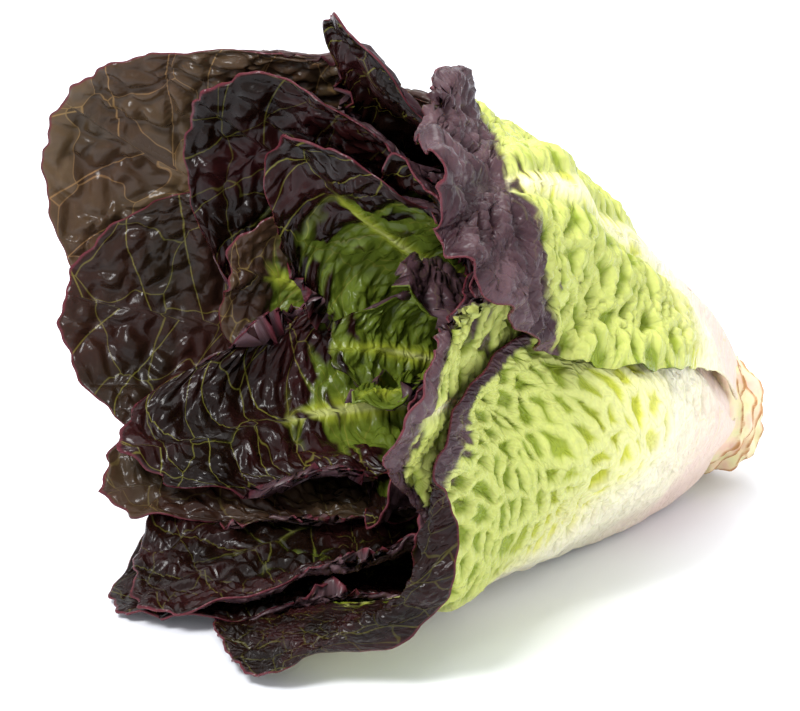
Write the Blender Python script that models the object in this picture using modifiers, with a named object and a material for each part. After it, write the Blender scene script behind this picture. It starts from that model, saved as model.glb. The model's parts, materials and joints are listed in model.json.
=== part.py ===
"""A red-leaved romaine lettuce head lying on its side, as cut for the kitchen.

Metres, +Z up, resting on the plane Z = 0. The cut stem is at +X and the open leaf tips are at -X, lifted
because the head widens towards them. Every leaf is a separate sheet that grows from the stem, with a thick
midrib on its outer side. Leaves are laid out in the head's own coordinates: an angle round the axis (0 down,
90 to the front, 180 up), a share of the way from stem to tip, and a layer from 0 at the heart to 1 outermost.
They are laid from the heart outwards, each one pushed out by what already lies inside it, so they nest and
never cross.
"""

import math
from dataclasses import dataclass

import bpy
import numpy as np

MM = 0.001

# Driving sizes in millimetres: profile of the outermost and the innermost layer, from the stem to the leaf
# tip, as the control points of a cubic, each (distance from the axis, height along it).
OUTER_PROFILE = ((19.5, 9.0), (46.0, 42.0), (49.0, 98.0), (85.0, 151.0))
HEART_PROFILE = ((3.0, 50.0), (6.0, 66.0), (5.0, 96.0), (4.0, 126.0))
BLADE_LENGTH = 172.0
HEAD_TILT = math.radians(19.6)
AXIS_LIFT = 17.4

# The head is not round: its front side is more closed than its back, and the heart leans up.
CLOSED_SIDE = math.radians(95.0)
CLOSING = 0.24
TABLE_CLOSING = 0.14
HEART_LEAN = 12.0

# The stem: a knobbly cut butt that shows, and a cone inside the head that carries the leaves.
BUTT_END = -10.0
BUTT_RADIUS = 17.5
STEM_GAP = 0.9
STEM_TIP_HEIGHT = 56.0
STEM_SIDES = 28

BLADE_THICKNESS = 0.9
RIB_THICKNESS = 4.2
RIB_HALF_WIDTH = 9.0
RIB_TIP_HALF_WIDTH = 2.2

# A blade's far corners are rounded, by this share, from this place along it.
ROUNDING = 0.6
ROUND_FROM = 0.45

# Each leaf stands this far round from the one outside it, one layer step further in.
DIVERGENCE = -137.5
FIRST_AZIMUTH = 158.0
LAYER_STEP = 0.04
MOST_WRAP = 2.4

# Waves that all the leaves share, because they grew pressed together: height, count round the head, turn and
# start.
SHARED_WAVES = ((2.0, 5, 0.8, 0.9), (1.0, 9, -1.4, 3.0))

# Laying the leaves one outside another: the room left between two of them, and the lattice that it is worked
# out on.
CLEARANCE = 1.1
ANGLE_STEPS = 180
LENGTH_STEPS = 64
LONGEST_REACH = 1.26

# The table presses the head: it rises by the first depth at the table and by nothing at the height above it,
# and by more at the belly, which is a place along the head.
PRESS_DEPTH = 3.5
PRESS_HEIGHT = 28.0
BELLY_PRESS = 3.2
BELLY = (94.0, 26.0)
FLAT_SPOT_HEIGHT = 0.5


@dataclass(frozen=True)
class Leaf:
    """One leaf's own form. Lengths are in millimetres and angles in degrees."""

    name: str
    half_width: float
    lee: float = 1.0
    reach: float = 1.0
    turn: float = 0.0
    sway: float = 0.0
    lean: float = 0.0
    cup: float = 0.0
    wave: float = 1.6
    waves: float = 7.0
    phase: float = 0.0
    shoulder: float = 0.22
    slant: float = 0.0
    taper: float = 0.22
    fold: float = 0.0
    fold_start: float = 0.8
    fold_skew: float = 0.0
    fold_bow: float = 0.0
    fold_radius: float = 5.0
    bed: float = 0.0
    columns: int = 10
    rows: int = 12


# From the outermost leaf to the heart. turn moves a leaf off its regular place round the head, sway carries
# its tip round the head and lean carries its tip to another layer. slant makes a blade longer on the side of
# positive u, and taper narrows its tip. bed is what lies between the leaf and the table.
LEAVES = (
    Leaf("outer_leaf_1", 46, reach=1.20, turn=-4, sway=-22, lean=-0.32, cup=-1, wave=1.2, waves=9,
         phase=0.4, shoulder=0.12, taper=0.05, columns=14, rows=16),
    Leaf("outer_leaf_2", 134, lee=0.50, reach=1.10, turn=11, sway=-8, lean=-0.06, cup=1, wave=1.0,
         waves=8, phase=1.9, shoulder=0.03, slant=0.05, taper=0.0, fold=140, fold_start=1.0,
         fold_skew=-0.43, fold_bow=0.455, fold_radius=2.5, columns=20, rows=19),
    Leaf("outer_leaf_3", 98, reach=1.12, turn=3, lean=0.05, cup=-1, wave=1.0, waves=5, phase=0.9,
         shoulder=0.26, columns=14, rows=12),
    Leaf("outer_leaf_4", 60, reach=1.22, turn=-4, sway=-12, lean=-0.18, cup=-3, wave=0.4, waves=9,
         phase=2.2, columns=15, rows=16),
    Leaf("outer_leaf_5", 58, bed=1.6, reach=1.10, turn=17, lean=0.02, cup=-1, wave=1.4, waves=7,
         phase=3.0, columns=14, rows=12),
    Leaf("outer_leaf_6", 42, reach=1.06, turn=-4, cup=-2, wave=1.0, waves=6, phase=0.2, shoulder=0.42,
         columns=10, rows=12),
    Leaf("middle_leaf_1", 40, bed=3.6, reach=0.90, lean=-0.15, cup=-2, wave=0.6, waves=9, phase=4.0,
         columns=14, rows=14),
    Leaf("middle_leaf_2", 82, reach=1.07, turn=0, lean=0.08, cup=-3, wave=1.2, waves=6, phase=1.2,
         columns=14, rows=12),
    Leaf("middle_leaf_3", 46, reach=0.93, lean=-0.12, cup=-2, wave=0.8, waves=8, phase=5.0, columns=12,
         rows=12),
    Leaf("middle_leaf_4", 60, reach=1.13, turn=-14, lean=0.04, cup=-2, wave=1.6, waves=7, phase=0.6,
         columns=14, rows=12),
    Leaf("middle_leaf_5", 66, reach=1.07, turn=2, lean=0.06, cup=-4, wave=1.2, waves=6, phase=2.6,
         columns=14, rows=12),
    Leaf("middle_leaf_6", 42, reach=0.88, lean=-0.12, cup=-2, wave=1.4, waves=9, phase=3.4, columns=12,
         rows=12),
    Leaf("middle_leaf_7", 42, reach=1.08, turn=8, lean=0.14, cup=-3, wave=1.6, waves=7, phase=1.5,
         columns=12, rows=11),
    Leaf("middle_leaf_8", 44, reach=0.97, cup=-3, wave=1.8, waves=9, phase=0.1, columns=10, rows=10),
    Leaf("inner_leaf_1", 40, reach=0.92, cup=-3, wave=1.8, waves=9, phase=2.0, columns=10, rows=10),
    Leaf("inner_leaf_2", 42, reach=0.99, cup=-3, wave=1.8, waves=8, phase=4.4, columns=10, rows=11),
    Leaf("inner_leaf_3", 36, reach=0.90, cup=-2, wave=1.6, waves=9, phase=1.0, columns=10, rows=10),
    Leaf("inner_leaf_4", 34, reach=1.12, turn=-30, lean=0.16, cup=-2, wave=1.8, waves=8, phase=3.7,
         columns=10, rows=10),
    Leaf("inner_leaf_5", 40, reach=1.06, turn=6, lean=0.15, cup=-2, wave=1.6, waves=8, phase=0.8,
         columns=10, rows=9),
    Leaf("inner_leaf_6", 28, reach=0.96, cup=-1, wave=1.2, waves=8, phase=2.9, columns=8, rows=8),
    Leaf("heart_leaf_1", 24, reach=0.88, wave=0.9, waves=7, phase=1.1, columns=8, rows=8),
    Leaf("heart_leaf_2", 20, reach=1.0, wave=0.7, waves=7, phase=2.3, columns=8, rows=7),
    Leaf("heart_leaf_3", 16, reach=1.0, wave=0.4, waves=6, phase=0.5, columns=8, rows=7),
)


def smooth_step(x):
    """0 below 0, 1 above 1 and a smooth ramp between them."""
    x = np.clip(x, 0.0, 1.0)
    return x * x * (3.0 - 2.0 * x)


def unit(vectors):
    return vectors / np.linalg.norm(vectors, axis=-1, keepdims=True)


def profile(layer, t):
    """Distance from the axis and height along it, at share t of a layer's length."""
    share = (layer, layer, layer, layer * (1.5 - 0.5 * layer))
    basis = ((1 - t) ** 3, 3 * t * (1 - t) ** 2, 3 * t * t * (1 - t), t**3)
    radius = height = 0.0
    for weight, mix, heart, outer in zip(basis, share, HEART_PROFILE, OUTER_PROFILE):
        radius = radius + weight * (heart[0] + (outer[0] - heart[0]) * mix)
        height = height + weight * (heart[1] + (outer[1] - heart[1]) * mix)
    return radius, height


def profile_slope(layer, t):
    """Unit tangent of the profile: its parts away from the axis and along it."""
    step = 1e-3
    radius_a, height_a = profile(layer, t - step)
    radius_b, height_b = profile(layer, t + step)
    length = np.hypot(radius_b - radius_a, height_b - height_a)
    return (radius_b - radius_a) / length, (height_b - height_a) / length


def room_per_layer(layer, t):
    """Millimetres from one layer to the next, square to the profile."""
    step = 1e-3
    radius_a, height_a = profile(layer - step, t)
    radius_b, height_b = profile(layer + step, t)
    away, along = profile_slope(layer, t)
    return ((radius_b - radius_a) * along - (height_b - height_a) * away) / (2 * step)


def layer_of(order):
    return 1.0 - LAYER_STEP * order


def azimuth_of(order, v):
    """The midrib's angle round the head at share v of the blade's length."""
    leaf = LEAVES[order]
    return np.radians(FIRST_AZIMUTH + DIVERGENCE * order + leaf.turn + leaf.sway * v * v)


def half_width_at(leaf, v):
    """Half the blade's width at share v of its length: a narrow foot, widest near three quarters."""
    foot = 0.10 + 9.0 / leaf.half_width
    widening = foot + (1.0 - foot) * smooth_step((v + 0.05) / 0.80) ** 0.9
    narrowing = 1.0 - leaf.taper * smooth_step((v - 0.72) / 0.30)
    return leaf.half_width * widening * narrowing


def half_angle_at(order, v):
    """Half the angle that the blade spans round the head."""
    leaf = LEAVES[order]
    radius, _ = profile(layer_of(order), leaf.reach * v)
    return MOST_WRAP * np.tanh(half_width_at(leaf, v) / radius / MOST_WRAP)


def length_share(leaf, u, v):
    """Share of the layer's length at a point of the blade. The blade's shoulders stay behind its tip."""
    return leaf.reach * v * (1.0 - drop_at(leaf, u) * v**3)


def drop_at(leaf, u):
    """Share of the blade's length that is missing at u."""
    return leaf.shoulder * np.abs(u) ** 2.6 - leaf.slant * u


def side_share(leaf, u):
    """Share of the full width that the blade has on the side of u. Its lee side can be the narrower one."""
    return np.where(np.asarray(u) < 0.0, leaf.lee, 1.0)


def thickness_at(order, u, v):
    """Blade thickness with the midrib, which is broad and thick at the foot and fades towards the tip."""
    leaf, layer = LEAVES[order], layer_of(order)
    v = np.clip(v, 0.0, 1.0)
    rib = RIB_THICKNESS * (0.2 + 0.8 * layer) * (1.0 - v) ** 1.3
    spread = RIB_HALF_WIDTH * (0.4 + 0.6 * layer) - RIB_TIP_HALF_WIDTH
    rib_half_width = RIB_TIP_HALF_WIDTH + spread * (1.0 - v)
    across = np.abs(u) * side_share(leaf, u) * half_width_at(leaf, v)
    return BLADE_THICKNESS + rib * np.exp(-((across / rib_half_width) ** 2))


def wished_layer(order, u, v):
    """The layer the blade would take if nothing lay inside it."""
    leaf, layer = LEAVES[order], layer_of(order)
    across_tip = np.clip((v - 0.45) / 0.55, -1.0, 1.0)
    rim = np.clip(np.maximum(np.abs(u), across_tip) * smooth_step(v / 0.6), 0.0, 1.1)
    offset = leaf.wave * rim**4 * np.sin(leaf.waves * np.arctan2(u, across_tip) + leaf.phase)
    offset = offset + leaf.cup * np.minimum(u * u, 1.2) * smooth_step((v - 0.3) / 0.6)
    room = room_per_layer(layer, np.minimum(leaf.reach * v, LONGEST_REACH))
    return layer + leaf.lean * v**3 + offset / room


def place_on_blade(order, angle, t):
    """The blade coordinates u and v over an angle and a share of the layer's length."""
    leaf = LEAVES[order]
    v = t / leaf.reach
    for _ in range(5):
        away = (angle - azimuth_of(order, v) + math.pi) % (2.0 * math.pi) - math.pi
        u = np.clip(away / (side_share(leaf, away) * half_angle_at(order, v)), -1.3, 1.3)
        v = np.minimum(t / (leaf.reach * (1.0 - drop_at(leaf, u) * np.minimum(v, 1.1) ** 3)), 1.3)
    return u, v


def blurred(field, passes):
    """The field smoothed over its neighbours, round the head and along it."""
    for _ in range(passes):
        field = (np.roll(field, 1, axis=0) + 2.0 * field + np.roll(field, -1, axis=0)) / 4.0
        padded = np.pad(field, ((0, 0), (1, 1)), mode="edge")
        field = (padded[:, :-2] + 2.0 * field + padded[:, 2:]) / 4.0
    return field


def widened(field, passes):
    """The field with each value spread to its lower neighbours."""
    for _ in range(passes):
        field = np.maximum(field, np.maximum(np.roll(field, 1, axis=0), np.roll(field, -1, axis=0)))
        padded = np.pad(field, ((0, 0), (1, 1)), mode="edge")
        field = np.maximum(field, np.maximum(padded[:, :-2], padded[:, 2:]))
    return field


def lay_leaves():
    """The layer of every leaf over the lattice, worked out from the heart outwards."""
    angle, t = np.meshgrid(np.arange(ANGLE_STEPS) * 2.0 * math.pi / ANGLE_STEPS,
                           np.linspace(0.0, LONGEST_REACH, LENGTH_STEPS), indexing="ij")
    taken = np.full(angle.shape, -1.0)
    fields = [None] * len(LEAVES)
    for order in reversed(range(len(LEAVES))):
        u, v = place_on_blade(order, angle, t)
        wish = wished_layer(order, u, v)
        need = widened(np.maximum(0.0, taken - wish), 2)
        push = need
        for _ in range(3):
            push = np.maximum(blurred(push, 6), need)
        laid = wish + blurred(push, 4)
        fields[order] = laid
        covered = (np.abs(u) < 1.08) & (v < 1.05)
        outer_face = laid + (thickness_at(order, u, v) + CLEARANCE) / room_per_layer(laid, t)
        taken = np.where(covered, np.maximum(taken, outer_face), taken)
    return fields


def look_up(field, angle, t):
    """The field's value between lattice points, by cubics both ways."""
    across = (angle / (2.0 * math.pi) * ANGLE_STEPS) % ANGLE_STEPS
    along = np.clip(t / LONGEST_REACH, 0.0, 1.0) * (LENGTH_STEPS - 1)
    column, row = np.floor(across).astype(int), np.minimum(np.floor(along).astype(int), LENGTH_STEPS - 2)
    weights = []
    for x in (across - column, along - row):
        weights.append((((2.0 - x) * x - 1.0) * x / 2.0, ((3.0 * x - 5.0) * x * x + 2.0) / 2.0,
                        ((4.0 - 3.0 * x) * x + 1.0) * x / 2.0, (x - 1.0) * x * x / 2.0))
    total = 0.0
    for i in range(4):
        for j in range(4):
            value = field[(column + i - 1) % ANGLE_STEPS, np.clip(row + j - 1, 0, LENGTH_STEPS - 1)]
            total = total + weights[0][i] * weights[1][j] * value
    return total


def warped(down, front, along):
    """The round head pressed out of true: front side more closed, heart leaning up."""
    radius, angle = np.hypot(down, front), np.arctan2(front, down)
    away = (angle - CLOSED_SIDE + math.pi) % (2.0 * math.pi) - math.pi
    closing = 1.0 - CLOSING * np.exp(-((away / 0.9) ** 2)) * smooth_step((along - 50.0) / 90.0)
    closing = closing - TABLE_CLOSING * np.exp(-((angle / 0.9) ** 2)) * smooth_step((along - 80.0) / 70.0)
    lean = HEART_LEAN * np.exp(-((radius / 28.0) ** 2)) * smooth_step((along - 40.0) / 80.0)
    return np.stack((down * closing - lean, front * closing, along), axis=-1)


def sheet(order, field, u, v):
    """The blade's inner face before any fold: points in head coordinates, in millimetres.

    u runs from -1 to 1 across the blade and v from 0 at the stem to 1 at the tip.
    """
    leaf = LEAVES[order]
    t = length_share(leaf, u, v)
    angle = azimuth_of(order, v) + u * side_share(leaf, u) * half_angle_at(order, v)
    layer = look_up(field, angle, t)
    radius, height = profile(layer, t)
    away, along = profile_slope(layer, t)
    offset = 0.0
    for wave_height, count, turn, start in SHARED_WAVES:
        spread = wave_height * smooth_step((t - 0.25) / 0.75) * smooth_step(radius / 40.0)
        offset = offset + spread * np.sin(count * angle + turn * (radius / 12.0 + 4.0 * t) + start)
    radius = radius + offset * along
    height = height - offset * away
    return warped(radius * np.cos(angle), radius * np.sin(angle), height)


def blade(order, field, u, v):
    """The blade's inner face, with its far end rolled outwards over a crease if the leaf has one."""
    leaf = LEAVES[order]
    flat = sheet(order, field, u, v)
    if leaf.fold == 0.0:
        return flat
    step = 0.01
    crease = np.minimum(leaf.fold_start + leaf.fold_skew * u + leaf.fold_bow * u * u, 1.1)
    turning = (leaf.fold_skew + 2.0 * leaf.fold_bow * u) * step
    start = sheet(order, field, u, crease)
    across = unit(sheet(order, field, u + step, crease + turning)
                  - sheet(order, field, u - step, crease - turning))
    upward = unit(start - sheet(order, field, u, crease - step))
    slide = (upward * across).sum(axis=-1, keepdims=True)
    forward = unit(upward - slide * across)
    outward = unit(np.cross(across, forward))
    beyond = np.maximum(0.0, v - crease)[..., None] * BLADE_LENGTH * leaf.reach
    length = beyond * np.sqrt(1.0 - slide * slide)
    turned = np.minimum(length / leaf.fold_radius, math.radians(leaf.fold))
    straight = length - leaf.fold_radius * turned
    ahead = leaf.fold_radius * np.sin(turned) + straight * np.cos(turned)
    out = leaf.fold_radius * (1.0 - np.cos(turned)) + straight * np.sin(turned)
    bent = start + across * beyond * slide + forward * ahead + outward * out
    return np.where(beyond > 0.0, bent, flat)


def laid_down(points):
    """Head coordinates turned to the head's rest pose and pressed on the table, in millimetres."""
    down, front, along = points[..., 0], points[..., 1], points[..., 2]
    x = -math.cos(HEAD_TILT) * along - math.sin(HEAD_TILT) * down
    z = math.sin(HEAD_TILT) * along - math.cos(HEAD_TILT) * down + AXIS_LIFT
    depth = PRESS_DEPTH + BELLY_PRESS * np.exp(-(((along - BELLY[0]) / BELLY[1]) ** 2))
    z = z + depth * (np.maximum(0.0, PRESS_HEIGHT - z) / (PRESS_HEIGHT + PRESS_DEPTH)) ** 2
    return np.stack((x, -front, z), axis=-1)


def principled(name, colour, roughness):
    material = bpy.data.materials.new(name)
    material.use_nodes = True
    shader = material.node_tree.nodes["Principled BSDF"]
    shader.inputs["Base Color"].default_value = (*colour, 1.0)
    shader.inputs["Roughness"].default_value = roughness
    shader.inputs["Metallic"].default_value = 0.0
    return material


def set_points(mesh, points):
    mesh.vertices.foreach_set("co", np.asarray(points, dtype=np.float32).ravel())
    mesh.update()


def get_points(mesh):
    points = np.empty(len(mesh.vertices) * 3, dtype=np.float32)
    mesh.vertices.foreach_get("co", points)
    return points.reshape(-1, 3).astype(float)


def rounded(u, v):
    """Places on the plain grid moved so that the blade's far corners are round."""
    up = (v - ROUND_FROM) / (1.0 - ROUND_FROM)
    tip = np.clip(up, 0.0, 1.0)
    far = ROUND_FROM + up * np.sqrt(1.0 - ROUNDING * u * u / 2.0) * (1.0 - ROUND_FROM)
    return u * np.sqrt(1.0 - ROUNDING * tip * tip / 2.0), np.where(up > 0.0, far, v)


def make_leaf(order, field, material, collection):
    """Shapes a flat grid into the leaf's inner face and gives it its thickness on the outer side."""
    leaf = LEAVES[order]
    bpy.ops.mesh.primitive_grid_add(x_subdivisions=leaf.columns, y_subdivisions=leaf.rows, size=2)
    made = bpy.context.object
    made.name = made.data.name = leaf.name
    made.data.materials.append(material)
    flat = get_points(made.data)
    u, v = rounded(np.sign(flat[:, 0]) * np.abs(flat[:, 0]) ** 1.15, (flat[:, 1] + 1.0) / 2.0)
    thickness = thickness_at(order, u, v)
    points = laid_down(blade(order, field, u, v))
    points[:, 2] = np.maximum(points[:, 2], leaf.bed + thickness)
    set_points(made.data, points * MM)
    weights = made.vertex_groups.new(name="thickness")
    thickest = float(thickness.max())
    for index, value in enumerate(thickness):
        weights.add([index], value / thickest, "REPLACE")
    solidify = made.modifiers.new("Thickness", "SOLIDIFY")
    solidify.thickness = thickest * MM
    solidify.offset = 1.0
    solidify.vertex_group = weights.name
    bpy.ops.object.modifier_apply(modifier=solidify.name)
    flatten_on_table(made.data)
    made.data.shade_smooth()
    move_to(made, collection)
    return made


def flatten_on_table(mesh):
    """What reaches the table lies flat on it."""
    points = get_points(mesh)
    low = points[:, 2] < FLAT_SPOT_HEIGHT * MM
    points[low, 2] = 0.0
    set_points(mesh, points)


def stem_profile():
    """Half outline of the stem from its tip down to the cut face, as distance from the axis and height."""
    outer_foot, heart_foot = OUTER_PROFILE[0], HEART_PROFILE[0]
    slope = (heart_foot[0] - outer_foot[0]) / (heart_foot[1] - outer_foot[1])
    outline = [(0.0, STEM_TIP_HEIGHT)]
    for height in np.linspace(STEM_TIP_HEIGHT - 2.0, outer_foot[1] + 1.0, 6):
        outline.append((outer_foot[0] + slope * (height - outer_foot[1]) - STEM_GAP, float(height)))
    scar_heights = (2.6, 0.0, -2.4, -5.0, -7.4)
    for height, swell in zip(scar_heights, (0.2, 1.1, -0.4, 0.7, -0.5)):
        outline.append((BUTT_RADIUS + swell, height))
    outline.append((BUTT_RADIUS - 2.4, BUTT_END))
    outline.append((BUTT_RADIUS * 0.5, BUTT_END - 0.5))
    outline.append((0.0, BUTT_END - 0.3))
    return outline


def make_stem(material, collection):
    """Turns the stem's outline round the axis, then roughens the butt with leaf scars."""
    outline = stem_profile()
    mesh = bpy.data.meshes.new("stem_butt")
    mesh.from_pydata([(radius, 0.0, height) for radius, height in outline],
                     [(i, i + 1) for i in range(len(outline) - 1)], [])
    stem = bpy.data.objects.new("stem_butt", mesh)
    collection.objects.link(stem)
    mesh.materials.append(material)
    screw = stem.modifiers.new("Turn", "SCREW")
    screw.steps = screw.render_steps = STEM_SIDES
    screw.use_merge_vertices = True
    screw.merge_threshold = 0.0001
    bpy.context.view_layer.objects.active = stem
    bpy.ops.object.modifier_apply(modifier=screw.name)
    points = get_points(mesh)
    radius = np.hypot(points[:, 0], points[:, 1])
    angle = np.arctan2(points[:, 1], points[:, 0])
    on_butt = smooth_step((4.0 - points[:, 2]) / 3.0) * smooth_step(radius / BUTT_RADIUS)
    knobs = 0.9 * np.sin(5 * angle + 0.5 * points[:, 2])
    knobs = knobs + 0.5 * np.sin(11 * angle + 1.3 - 0.9 * points[:, 2])
    radius = radius + knobs * on_butt
    height = points[:, 2] + 0.6 * on_butt * np.sin(3 * angle + 1.0)
    head = np.stack((radius * np.cos(angle), radius * np.sin(angle), height), axis=-1)
    set_points(mesh, laid_down(head) * MM)
    mesh.shade_smooth()
    return stem


def move_to(made, collection):
    for holder in list(made.users_collection):
        holder.objects.unlink(made)
    collection.objects.link(made)


def centre_over_origin(objects):
    """Shifts the whole head sideways so that the middle of its box stands over the origin."""
    everything = np.concatenate([get_points(made.data) for made in objects])
    middle = (everything.min(axis=0) + everything.max(axis=0)) / 2.0
    middle[2] = 0.0
    for made in objects:
        set_points(made.data, get_points(made.data) - middle)


def main():
    for old in list(bpy.data.objects):
        bpy.data.objects.remove(old)
    head = bpy.data.collections.new("lettuce_head")
    bpy.context.scene.collection.children.link(head)
    red_leaf = principled("red_leaf", (0.075, 0.022, 0.026), 0.38)
    green_leaf = principled("green_leaf", (0.36, 0.50, 0.10), 0.42)
    pale_stem = principled("pale_stem", (0.80, 0.68, 0.46), 0.55)
    fields = lay_leaves()
    built = []
    for order, leaf in enumerate(LEAVES):
        material = green_leaf if leaf.name.startswith("heart") else red_leaf
        built.append(make_leaf(order, fields[order], material, head))
    built.append(make_stem(pale_stem, head))
    centre_over_origin(built)


main()
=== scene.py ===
"""Looks of a red-leaved romaine lettuce head that lies on its side.

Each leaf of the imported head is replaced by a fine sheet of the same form, with its blisters, veins, ruffled
rim and midrib, and the stem by a butt with leaf scars. Leaves are laid out in the head's own coordinates: an
angle round the axis (0 down, 90 to the front, 180 up), a share t of the way from stem to tip, and a layer
from 0 at the heart to 1 outermost. On a leaf, u runs from -1 to 1 across the blade and v from 0 at the stem
to 1 at the tip. Lengths of the form are in millimetres, and points become metres when a mesh takes them.
"""

import json
import logging
import math
from dataclasses import dataclass
from enum import Enum
from typing import Any, Optional, Union

import bpy
import numpy as np
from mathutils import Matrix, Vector

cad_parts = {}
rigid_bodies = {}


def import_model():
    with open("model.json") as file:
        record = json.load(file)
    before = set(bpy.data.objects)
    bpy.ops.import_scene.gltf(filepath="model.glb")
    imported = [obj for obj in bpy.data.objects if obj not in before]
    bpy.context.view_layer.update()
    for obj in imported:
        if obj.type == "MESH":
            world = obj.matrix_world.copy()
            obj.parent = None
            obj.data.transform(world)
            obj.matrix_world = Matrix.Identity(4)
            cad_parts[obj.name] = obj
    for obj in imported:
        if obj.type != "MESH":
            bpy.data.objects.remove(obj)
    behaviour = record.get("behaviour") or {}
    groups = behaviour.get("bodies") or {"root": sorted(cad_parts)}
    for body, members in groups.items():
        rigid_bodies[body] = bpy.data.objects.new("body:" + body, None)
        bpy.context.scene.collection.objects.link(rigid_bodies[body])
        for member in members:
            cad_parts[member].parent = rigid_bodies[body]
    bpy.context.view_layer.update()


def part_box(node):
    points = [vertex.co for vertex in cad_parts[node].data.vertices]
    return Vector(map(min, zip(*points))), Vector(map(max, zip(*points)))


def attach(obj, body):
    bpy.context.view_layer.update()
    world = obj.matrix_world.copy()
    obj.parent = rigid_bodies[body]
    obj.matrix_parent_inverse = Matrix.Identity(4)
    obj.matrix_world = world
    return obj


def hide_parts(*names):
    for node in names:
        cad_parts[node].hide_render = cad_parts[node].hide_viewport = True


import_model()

MM = 0.001
LOG = logging.getLogger("lettuce_head")

Colour = tuple[float, float, float]
Number = Union[float, np.ndarray]
Point = tuple[float, float, float]
Profile = tuple[tuple[float, float], ...]


class Ring(Enum):
    """A leaf's ring in the head, with the record's material slot and the pitch of the leaf's grid."""

    OUTER = ("red_leaf", 1.2)
    MIDDLE = ("red_leaf", 1.4)
    INNER = ("red_leaf", 1.38)
    HEART = ("green_leaf", 1.4)

    @property
    def slot(self) -> str:
        """Material slot in the record."""
        return self.value[0]

    @property
    def pitch(self) -> float:
        """Distance between the points of the leaf's grid, in millimetres."""
        return self.value[1]


class Side(Enum):
    """The two faces of a leaf: the one towards the heart and the one away from it."""

    UPPER = "upper"
    LOWER = "lower"


def smooth_step(x: Number) -> Number:
    """Ramps smoothly from 0 to 1.

    Args:
        x: Place on the ramp, which starts at 0 and ends at 1.

    Returns:
        The height of the ramp there.
    """
    x = np.clip(x, 0.0, 1.0)
    return x * x * (3.0 - 2.0 * x)


def unit(vectors: np.ndarray) -> np.ndarray:
    """Vectors of length 1 in the same directions."""
    return vectors / np.linalg.norm(vectors, axis=-1, keepdims=True)


def turn_from(start: Number, angle: Number) -> Number:
    """Turn from start to angle, between half a turn back and half a turn on."""
    return (angle - start + math.pi) % (2.0 * math.pi) - math.pi


def polar(points: np.ndarray) -> tuple[np.ndarray, np.ndarray]:
    """Distance from the axis and angle round it of points in head coordinates."""
    return np.hypot(points[:, 0], points[:, 1]), np.arctan2(points[:, 1], points[:, 0])


@dataclass(frozen=True)
class Leaf:
    """One leaf's form and colouring. Lengths are in millimetres and angles in degrees.

    lee is the width of the side of negative u as a share of the other side's. turn moves the leaf off its
    regular place round the head, sway carries its tip round the head and lean carries its tip to another
    layer. cup sends its sides outwards. shoulder keeps its sides behind the tip, slant makes it longer on
    the side of positive u and taper narrows the tip. What lies past a crease at fold_start, which fold_skew
    and fold_bow draw across the blade, rolls outwards by fold. bed is what lies between the leaf and the
    table.

    blister, pimple and frill are the heights of the blisters, of their fine relief and of the rim's ruffles.
    cell is the size of a blister, drawn says how far blisters are drawn out along the leaf, and lift and
    curl move the blade and its rim outwards. The inner face turns red at red_from, and the outer face at
    back_from as much as red_back says. Both are pale up to pale_to. veined is the strength of the inner
    face's vein lines, brown that of the brown in its red, and rib_spread and rib_white are the width and the
    strength of the white beside the midrib outside. Tears are (place round the rim, depth as a share of the
    blade, half width), with place 0 at the tip and 90 at the side of positive u.
    """

    name: str
    ring: Ring
    half_width: float
    lee: float = 1.0
    reach: float = 1.0
    turn: float = 0.0
    sway: float = 0.0
    lean: float = 0.0
    cup: float = 0.0
    wave: float = 1.6
    waves: float = 7.0
    phase: float = 0.0
    shoulder: float = 0.22
    slant: float = 0.0
    taper: float = 0.22
    fold: float = 0.0
    fold_start: float = 0.8
    fold_skew: float = 0.0
    fold_bow: float = 0.0
    fold_radius: float = 5.0
    bed: float = 0.0
    blister: float = 1.7
    lift: float = 0.0
    cell: float = 13.0
    drawn: float = 0.2
    pimple: float = 1.2
    frill: float = 1.7
    frill_length: float = 30.0
    curl: float = 1.5
    red_from: float = 0.38
    red_back: float = 1.0
    back_from: float = 0.35
    pale_to: float = 0.22
    veined: float = 0.3
    rib_spread: float = 5.0
    rib_white: float = 0.5
    brown: float = 0.0
    tears: tuple[tuple[float, float, float], ...] = ()


OUTER, MIDDLE, INNER, HEART = Ring.OUTER, Ring.MIDDLE, Ring.INNER, Ring.HEART

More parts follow.
